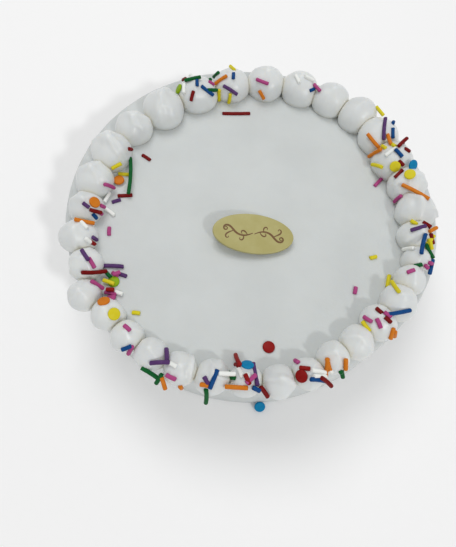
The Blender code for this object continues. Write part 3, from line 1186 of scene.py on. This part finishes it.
@dataclass
class Sprinkles:
    """Sugar rods and discs, pressed half into the icing."""

    ring: KissRing
    rod_radius: float = 1.08 * MM
    rod_sides: int = 10
    rod_cut: float = 0.33
    rod_rounding: float = 0.55
    rod_sit: float = 0.35 * MM
    shortest_rod: float = 3.6 * MM
    shortening: float = 0.9
    buried: float = 0.8 * MM
    propping: float = 0.3 * MM
    most_propped: float = 2.7 * MM
    disc_radius: float = 2.95 * MM
    disc_thickness: float = 1.4 * MM
    disc_rounding: float = 0.4
    disc_sides: int = 20
    disc_sit: float = 0.3 * MM
    crisp: float = 50
    seed: int = 5
    most_bend: float = 0.03

    def is_seen(self, sprinkle: Sprinkle, kiss: Kiss) -> bool:
        """Tell whether no part of a sprinkle is lost in a neighbouring kiss or in the cake.

        Args:
            sprinkle: The sprinkle.
            kiss: The kiss that it lies on.

        Returns:
            Whether all of it shows.
        """
        if sprinkle.length:
            arms = [sprinkle.along * (0.25 * step * sprinkle.length) for step in range(-2, 3)]
        else:
            side = sprinkle.up.cross(sprinkle.along)
            ways = (sprinkle.along, -sprinkle.along, side, -side)
            arms = [way * self.disc_radius for way in ways]
        spots = np.array([sprinkle.centre + arm for arm in arms])
        forms = (self.ring.body, *self.ring.neighbours(kiss))
        return min(float(form.outside(spots)[0].min()) for form in forms) > -self.buried

    def pressed_in(
        self, spot: Vector, up: Vector, along: Vector, length: float | None, dye: Dye
    ) -> Sprinkle:
        """Press a sprinkle in at a spot, by the ways up and along, its millimetres and its dye."""
        sit = self.disc_sit if length is None else self.rod_sit
        return Sprinkle(spot + up * sit, along, up, None if length is None else length * MM, dye)

    def lay_on_kiss(self, kiss: Kiss, angles: Triple, length: float | None, dye: Dye) -> Sprinkle:
        """Place a sprinkle on a kiss, propped on its neighbour or shortened until it shows.

        Args:
            kiss: The kiss.
            angles: Bearing, fall from the tip and turn from level, in degrees.
            length: Millimetres, or none for a disc.
            dye: Its colour.

        Returns:
            The sprinkle.
        """
        bearing, fall, turn = map(radians, angles)
        up = kiss.normal(bearing, fall)
        spot = kiss.point(bearing, fall)
        spot += up * float(self.ring.relief(kiss, np.array([bearing]), np.array([fall]))[0])
        sprinkle = self.pressed_in(spot, up, tangent(up, turn), length, dye)
        propped = 0.0
        while propped < self.most_propped and not self.is_seen(sprinkle, kiss):
            sprinkle.centre += up * self.propping
            propped += self.propping
        while (
            sprinkle.length and sprinkle.length > self.shortest_rod
            and not self.is_seen(sprinkle, kiss)
        ):
            sprinkle.length *= self.shortening
        return sprinkle

    def on_kisses(self) -> list[Sprinkle]:
        """Return the sprinkles that lie on the kisses."""
        return [
            self.lay_on_kiss(self.ring.kisses[number - 1], (bearing, fall, turn), length, dye)
            for number, rows in LAID_ON_KISSES.items()
            for bearing, fall, turn, length, dye in rows
        ]

    def on_body(self) -> list[Sprinkle]:
        """Return the sprinkles that lie on the flat top and on the wall."""
        body = self.ring.body
        sprinkles = []
        for x, y, propped, turn, length, dye in LAID_ON_TOP:
            spot = Vector((x * MM, y * MM, body.height + propped * MM))
            sprinkles.append(self.pressed_in(spot, UP, direction(turn), length, dye))
        for bearing, level, turn, lean, length, dye in LAID_ON_WALL:
            clear = body.reach(radians(bearing)) + self.disc_radius * sin(radians(lean))
            facing = direction(bearing, lean)
            spot = direction(bearing) * clear + UP * (level * MM)
            along = tangent(facing, radians(turn))
            sprinkles.append(self.pressed_in(spot, facing, along, length, dye))
        return sprinkles

    def across(self) -> list[Sprinkle]:
        """Return the rods that bridge two kisses or hang over the rim."""
        sprinkles = []
        for start, end, dye in LAID_ACROSS:
            start, end = Vector(start) * MM, Vector(end) * MM
            along = (end - start).normalized()
            up = along.cross(UP).normalized().cross(along)
            sprinkles.append(Sprinkle((start + end) / 2, along, up, (end - start).length, dye))
        return sprinkles

    def rod_form(self) -> Piece:
        """Model one rod with rounded ends, two units long so that its ends can be moved apart."""
        obj = new_piece(
            "rod_form", bpy.ops.mesh.primitive_cylinder_add,
            vertices=self.rod_sides, radius=self.rod_radius, depth=2.0,
        )
        for level in (self.rod_cut, -self.rod_cut):
            with editing(obj):
                bpy.ops.mesh.bisect(plane_co=(0, 0, level), plane_no=(0, 0, 1))
        width = self.rod_rounding * self.rod_radius
        modify(obj, "BEVEL", limit_method="ANGLE", width=width, segments=2)
        return obj

    def disc_form(self) -> Piece:
        """Model one flat disc with a soft edge."""
        obj = new_piece(
            "disc_form", bpy.ops.mesh.primitive_cylinder_add,
            vertices=self.disc_sides, radius=self.disc_radius, depth=self.disc_thickness,
        )
        width = self.disc_rounding * self.disc_thickness
        modify(obj, "BEVEL", limit_method="ANGLE", width=width, segments=3)
        return obj

    def copied(self, form: Piece, sprinkle: Sprinkle) -> Piece:
        """Copy a form to a sprinkle's place, with its own mesh.

        Args:
            form: The rod or the disc.
            sprinkle: Where it lies.

        Returns:
            The copy.
        """
        obj = form.copy()
        obj.data = form.data.copy()
        bpy.context.scene.collection.objects.link(obj)
        if sprinkle.length is not None:
            places = points_of(obj)
            level, half = places[:, 2], 0.5 * sprinkle.length
            capped = level + np.sign(level) * (half - 1.0)
            places[:, 2] = np.where(np.abs(level) > 0.5, capped, level * half)
            places[:, 1] += sprinkle.bend * sprinkle.length * ((places[:, 2] / half) ** 2 - 0.5)
            set_points(obj, places)
            axis, width = sprinkle.along, sprinkle.up
        else:
            axis, width = sprinkle.up, sprinkle.along
        turned = Matrix((width, axis.cross(width), axis)).transposed().to_4x4()
        place(obj, Matrix.Translation(sprinkle.centre) @ turned)
        return obj

    def build(self) -> None:
        """Strew all the sprinkles, as one piece for each kind and dye."""
        found = self.on_kisses() + self.on_body() + self.across()
        bends = random.Random(self.seed)
        for sprinkle in found:
            if sprinkle.length:
                sprinkle.bend = bends.uniform(-self.most_bend, self.most_bend)
        forms = {"rods": self.rod_form(), "discs": self.disc_form()}
        for dye in Dye:
            material = SugarFinish(f"{dye.name.lower()}_sugar", dye.value).material()
            for kind, form in forms.items():
                copies = [
                    self.copied(form, sprinkle) for sprinkle in found
                    if sprinkle.dye is dye and (sprinkle.length is None) == (kind == "discs")
                ]
                if not copies:
                    continue
                select_only(*copies)
                if len(copies) > 1:
                    bpy.ops.object.join()
                piece = bpy.context.object
                piece.name = f"{dye.name.lower()}_{kind}"
                piece.data.name = piece.name
                piece.data.materials.append(material)
                smooth(piece, self.crisp)
                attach(piece, BODY)
        for form in forms.values():
            bpy.data.objects.remove(form, do_unlink=True)
        log.info("strewed %d sprinkles", len(found))


# Sprinkles on each kiss: bearing, fall from the tip and turn from level in degrees, length in
# millimetres, or none for a disc, and dye
LAID_ON_KISSES = {
    2: (
        (190, 60, 0, None, LIME), (160, 10, 115, 10, GREEN), (330, 40, 110, 9, BLUE),
        (260, 45, 85, 6, DARK_RED), (150, 50, 75, 5, DARK_RED), (290, 10, 80, 4, BLUE),
        (210, 40, 150, 6, WHITE), (120, 50, 80, 5, WHITE), (350, 50, 135, 8, GREEN),
        (50, 60, 125, 6, GREEN), (20, 45, 80, 4, PINK),
    ),
    3: (
        (210, 40, 80, 9, ORANGE), (270, 55, 155, 10, PURPLE), (160, 65, 75, 8, GREEN),
        (95, 30, 105, 9, YELLOW), (290, 12, 75, 4, BLUE), (235, 85, 95, 8, YELLOW),
        (270, 85, 85, 7, YELLOW),
    ),
    4: ((250, 40, 0, 8, PINK), (260, 80, 130, 6, ORANGE)),
    8: (
        (260, 15, 100, 13, PURPLE), (240, 55, 165, 11, ORANGE), (35, 35, 120, 4, BLUE),
        (320, 32, 50, 6, BLUE),
    ),
    9: (
        (312, 50, 0, None, SKY), (260, 50, 0, None, YELLOW), (255, 15, 150, 6, BLUE),
        (170, 70, 80, 11, ORANGE), (160, 42, 50, 4, YELLOW), (140, 20, 70, 4, YELLOW),
        (65, 45, 85, 8, DARK_RED), (0, 20, 85, 4, DARK_RED), (280, 40, 135, 4, DARK_RED),
        (210, 78, 35, 8, YELLOW), (200, 25, 100, 7, WHITE),
    ),
    10: ((205, 13, 20, None, YELLOW), (170, 40, 140, 6, DARK_RED), (240, 85, 80, 7, PINK)),
    11: ((250, 60, 170, 4, YELLOW),),
    12: ((180, 15, 105, 8, PURPLE), (55, 25, 5, 5, DARK_RED)),
    13: ((330, 55, 125, 4, PINK), (255, 46, 30, 4, GREEN), (140, 60, 85, 8, WHITE)),
    14: ((170, 15, 118, 4, PINK),),
    15: ((120, 40, 70, 10, YELLOW),),
    16: (
        (210, 60, 5, 6, YELLOW), (190, 46, 45, 5, PINK), (240, 25, 145, 5, PINK),
        (120, 20, 95, 4, DARK_RED), (320, 15, 100, 4, DARK_RED), (20, 10, 45, 4, PINK),
        (325, 78, 100, 7, ORANGE), (310, 60, 60, 6, ORANGE),
    ),
    18: ((240, 60, 110, 11, ORANGE), (300, 85, 110, 6, GREEN), (250, 80, 60, 6, WHITE)),
    19: ((215, 40, 0, None, RED), (170, 22, 90, 5, RED), (145, 62, 80, 4, PINK)),
    21: (
        (90, 45, 0, None, SKY), (130, 60, 90, 5, DARK_RED), (330, 12, 165, 6, PINK),
        (170, 60, 75, 5, GREEN), (185, 52, 80, 4, GREEN),
    ),
    22: ((235, 28, 160, 4, PURPLE), (240, 42, 30, 4, ORANGE)),
    23: ((180, 22, 65, 5, WHITE), (240, 46, 15, 5, PINK), (280, 88, 95, 4, ORANGE)),
    25: ((282, 60, 20, 5, BLUE), (292, 78, 65, 7, PINK), (50, 8, 5, 4, PINK)),
    26: ((340, 35, 0, None, YELLOW), (110, 30, 0, None, ORANGE), (85, 70, 120, 6, PINK)),
    27: ((40, 65, 65, 8, PINK),),
    28: ((320, 65, 135, 14, DARK_RED), (340, 35, 65, 6, PINK), (37, 10, 5, 7, PURPLE)),
    29: (
        (55, 40, 50, 10, ORANGE), (335, 75, 105, 4, RED), (350, 73, 100, 4, PURPLE),
        (330, 56, 100, 4, WHITE), (37, 32, 15, 5, WHITE),
    ),
    30: (
        (330, 60, 125, 7, DARK_RED), (0, 40, 0, None, ORANGE), (318, 75, 100, 4, BLUE),
        (340, 80, 110, 4, PINK), (5, 75, 110, 4, PINK), (308, 25, 115, 4, PURPLE),
    ),
    31: ((335, 75, 120, 8, PINK),),
    32: ((297, 78, 15, 6, YELLOW), (5, 72, 125, 4, DARK_RED)),
}

# On the flat top: x, y, how far it is propped up, turn from +X in degrees, length or none, and dye
LAID_ON_TOP = (
    (-15, 61, 0, 8, 17, DARK_RED), (13, -82, 0, 0, None, RED), (70, 21, 0, 53, 8, PINK),
    (-69, -49, 0.6, 5, 13, PURPLE), (-66, -57, 0, 0, None, LIME), (-68, -58, 1.4, 166, 6, YELLOW),
    (-69, -54, 1, 138, 4, GREEN), (-66, -53, 0, 153, 4, PINK), (-62, -53, 0, 167, 4, PURPLE),
    (-70, -6, 0, 11, 8, DARK_RED), (-75, 3, 1, 0, None, ORANGE), (-73, 8, 0, 3, 7, YELLOW),
    (-69, 5.5, 3, 98, 24, GREEN), (-63, 21, 0, 149, 6, DARK_RED), (-74, -10, 0, 28, 5, PURPLE),
    (-74, -29, 0, 100, 5, PINK), (65, -28, 0, 20, 4, YELLOW), (55, -48, 0, 80, 4, PINK),
    (-52, -72, 0, 0, 4, YELLOW), (72, -41, 0.5, 78, 7, YELLOW), (-66, -63.5, 0.9, 177, 6, PINK),
    (-65, -65.5, 0.9, 22, 4, PINK), (-66, -62.5, 2.9, 4, 4, RED), (-62, -63, 1, 165, 4, WHITE),
    (-65, -53, 1.5, 30, 4, PINK), (-79, -9, 1, 75, 6.5, WHITE), (-76, -17.5, 0.6, 148, 7, WHITE),
)

# On the wall: bearing, level, turn from level and lean back in degrees, length or none, and dye
LAID_ON_WALL = ((278, 2.4, 0, 50, None, SKY),)

# Rods that bridge two kisses or hang over the rim: both ends in millimetres, and dye
LAID_ACROSS = (
    ((78, 11.5, 55.5), (91, 2.5, 57.5), ORANGE), ((88, -18, 55.5), (84.5, -30, 56), BLUE),
    ((67, 67.5, 54), (71.5, 62, 53), YELLOW), ((75.5, 33, 60.5), (81, 40, 60), DARK_RED),
    ((71.5, 44, 57), (72.5, 36, 58), ORANGE), ((90.5, -16, 55), (95, -12.5, 54), ORANGE),
    ((94, -16.5, 52.5), (90, -22, 52), YELLOW), ((90.5, -19.5, 54), (92.5, -24.5, 51.5), YELLOW),
    ((91.5, -16.5, 54), (94, -20.5, 50.5), DARK_RED), ((89, -22, 52.5), (94, -28, 49), GREEN),
    ((94, -28.5, 48.5), (91.5, -37, 48.5), BLUE), ((90, -35, 50.5), (88, -34, 52), PINK),
    ((-44, -99, 48.5), (-35, -103, 45.5), GREEN), ((-37, -104.5, 43.5), (-34.5, -101, 48.5), GREEN),
    ((-34.5, -102, 47.5), (-32.5, -106.5, 43), ORANGE),
    ((-34, -89.5, 50), (-32.5, -97, 53), PURPLE), ((-40, -97.5, 52.5), (-31, -96.5, 54), PURPLE),
    ((-14, -106, 51.5), (-13.5, -110.5, 42), GREEN), ((-12.5, -106, 52.5), (-10, -98, 56), BLUE),
    ((-6, -104, 51), (4, -104, 53), ORANGE), ((9.5, -102.5, 51.7), (13.5, -106, 47.7), DARK_RED),
    ((6, -103.5, 53), (9.5, -104.5, 51.5), BLUE), ((5.5, -92, 50.5), (8, -102.5, 53), PURPLE),
    ((2, -99, 57), (4.5, -102.5, 54), RED), ((-2.5, -87.5, 44.2), (-0.5, -94, 52.8), RED),
    ((38, -87.5, 54), (41, -92, 49), ORANGE), ((30.5, -98, 56.2), (38, -97, 51.7), BLUE),
    ((35.5, -96.5, 55), (41.5, -98.5, 49), DARK_RED),
    ((46.5, -87, 54.5), (47.5, -91, 50.5), ORANGE), ((46, -90, 48.5), (48, -93, 44), GREEN),
    ((66.5, -64, 55.5), (78.5, -59.5, 52.5), BLUE), ((29.5, 79, 55.3), (33.5, 74.5, 54.7), PINK),
    ((27.5, 74.5, 54), (30.5, 77.5, 53.3), BLUE), ((18, 82.5, 57.4), (20.5, 77, 56.9), WHITE),
    ((23.5, 81, 58.7), (29, 81, 56), WHITE), ((-9.5, -99.5, 55.3), (-2, -98.5, 53), WHITE),
    ((-1.5, -94, 49.4), (1, -99.5, 55.2), WHITE), ((31, -94, 56.3), (38, -93.5, 52), WHITE),
    ((32, -96.5, 55.6), (38.5, -95, 51), WHITE),
)


# The plaque


@dataclass
class Plaque:
    """The oval of pale chocolate, propped so that its back edge stands a little higher."""

    level: float
    length: float = 42.5 * MM
    width: float = 21 * MM
    thickness: float = 2.2 * MM
    edge: float = 0.5 * MM
    x: float = 1 * MM
    y: float = -24.6 * MM
    turn: float = 1.8
    tilt: float = 15
    tilt_bearing: float = 25
    clearance: float = 1.0 * MM
    sides: int = 112
    crisp: float = 40
    print_height: float = 0.1 * MM
    # How much lower the print is at its margins, as a share
    print_slope: float = 0.6

    def placement(self) -> Matrix:
        """Return its place: turned in plan, then tilted so that its back left edge is highest."""
        tilt, towards = radians(self.tilt), radians(self.tilt_bearing)
        reach = 0.5 * hypot(self.length * sin(towards), self.width * cos(towards))
        lift = reach * sin(tilt) + 0.5 * self.thickness * cos(tilt) + self.clearance
        spot = Vector((self.x, self.y, self.level + lift))
        turn = Matrix.Rotation(radians(self.turn), 4, "Z")
        lean = Matrix.Rotation(tilt, 4, direction(self.tilt_bearing))
        return Matrix.Translation(spot) @ turn @ lean

    def cast(self) -> Piece:
        """Model the oval slab with softened edges."""
        obj = new_piece(
            "plaque_slab", bpy.ops.mesh.primitive_cylinder_add,
            vertices=self.sides, radius=0.5 * self.length, depth=self.thickness,
        )
        with editing(obj):
            bpy.ops.transform.resize(value=(1, self.width / self.length, 1))
        modify(obj, "BEVEL", limit_method="ANGLE", width=self.edge, segments=4)
        return obj

    def build(self) -> None:
        """Model and dress the plaque."""
        obj = self.cast()
        place(obj, self.placement())
        smooth(obj, self.crisp)
        finish = ChocolateFinish("pale_chocolate", colour=(174, 166, 105), bloom=(181, 174, 116))
        obj.data.materials.append(finish.material())
        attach(obj, BODY)
        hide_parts("plaque")
        self.decorate()
        log.info("plaque cast")

    def ribbon(self, flourish: "Flourish", mirrored: bool) -> Piece:
        """Pipe one stroke of the print: thin at its ends, thickest halfway.

        Args:
            flourish: The stroke.
            mirrored: Whether it is turned half round, for the other side.

        Returns:
            The stroke in the plaque's own place, lying on its face.
        """
        line = flourish.line() * (-1 if mirrored else 1)
        way = np.gradient(line, axis=0)
        across = np.column_stack([-way[:, 1], way[:, 0]])
        across /= np.linalg.norm(way, axis=1)[:, None]
        swell = np.sin(pi * np.linspace(0, 1, len(line)))
        half = 0.5 * flourish.width * (flourish.hairline + (1 - flourish.hairline) * swell)
        obj = new_piece(
            "stroke", bpy.ops.mesh.primitive_grid_add,
            x_subdivisions=len(line) - 1, y_subdivisions=2, size=2.0,
        )
        grid = points_of(obj)
        row = np.rint(0.5 * (grid[:, 0] + 1) * (len(line) - 1)).astype(int)
        flat = line[row] + across[row] * (half[row] * grid[:, 1])[:, None]
        raised = self.print_height * (1 - self.print_slope * np.abs(grid[:, 1]))
        set_points(obj, np.column_stack([flat, 0.5 * self.thickness + raised]))
        modify(obj, "SOLIDIFY", thickness=2 * self.print_height, offset=-1)
        return obj

    def decorate(self) -> None:
        """Print a scroll on the plaque, the same from either side."""
        print_piece = select_only(*[
            self.ribbon(flourish, mirrored) for flourish in FLOURISHES for mirrored in (False, True)
        ])
        bpy.ops.object.join()
        print_piece.name = print_piece.data.name = "plaque_print"
        place(print_piece, self.placement())
        outward_faces(print_piece)
        smooth(print_piece, self.crisp)
        finish = ChocolateFinish("dark_chocolate", colour=(106, 74, 42), bloom=(122, 92, 54))
        print_piece.data.materials.append(finish.material())
        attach(print_piece, BODY)


@dataclass(frozen=True)
class Flourish:
    """One stroke of the print: where it starts, its heading and how it curls.

    The start is in millimetres from the plaque's middle, the heading in degrees. Each bend is a
    length in millimetres and how sharply it turns at its start and end, in degrees a millimetre.
    """

    start: Span
    heading: float
    bends: tuple[Triple, ...]
    width: float
    hairline: float = 0.35
    step: float = 0.2

    def line(self) -> Array:
        """Return the middle of the stroke, one row of x and y for each step, in metres."""
        spot, heading = np.array(self.start, dtype=float), radians(self.heading)
        spots = [spot]
        for length, first, last in self.bends:
            steps = max(2, round(length / self.step))
            for i in range(steps):
                heading += radians(first + (last - first) * (i + 0.5) / steps) * length / steps
                spot = spot + np.array([cos(heading), sin(heading)]) * length / steps
                spots.append(spot)
        return np.array(spots) * MM


# The print on the right half of the plaque
FLOURISHES = (
    Flourish(
        (0.4, -0.2), 28, ((5, 0, -9), (5, -9, -9), (4, -9, 14), (5, 14, 55), (3.5, 55, 95)),
        1.1 * MM,
    ),
    Flourish((5.4, 1.2), 118, ((2.4, -12, -34), (3, -34, -100)), 0.75 * MM),
    Flourish((3.2, 1.0), -62, ((2.2, 6, 20), (3.4, 20, 105)), 0.75 * MM),
    Flourish((10.2, -0.7), 30, ((3.5, -4, 6), (3, 6, 60), (2, 60, 100)), 0.8 * MM),
)


def write_sizes() -> None:
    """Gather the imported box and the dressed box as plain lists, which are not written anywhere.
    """
    boxes = {"cad": CAD_BOX, "visual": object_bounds()}
    plain = {name: [list(corner) for corner in box] for name, box in boxes.items()}


def main() -> None:
    """Build the studio and the cake, piece by piece."""
    logging.basicConfig(level=logging.INFO, format="%(name)s: %(message)s")
    Studio().build()
    body = IcedBody()
    plaque = Plaque(level=body.height)
    body.build(plaque)
    ring = KissRing(body)
    ring.build()
    Sprinkles(ring).build()
    plaque.build()
    write_sizes()


if __name__ == "__main__":
    main()
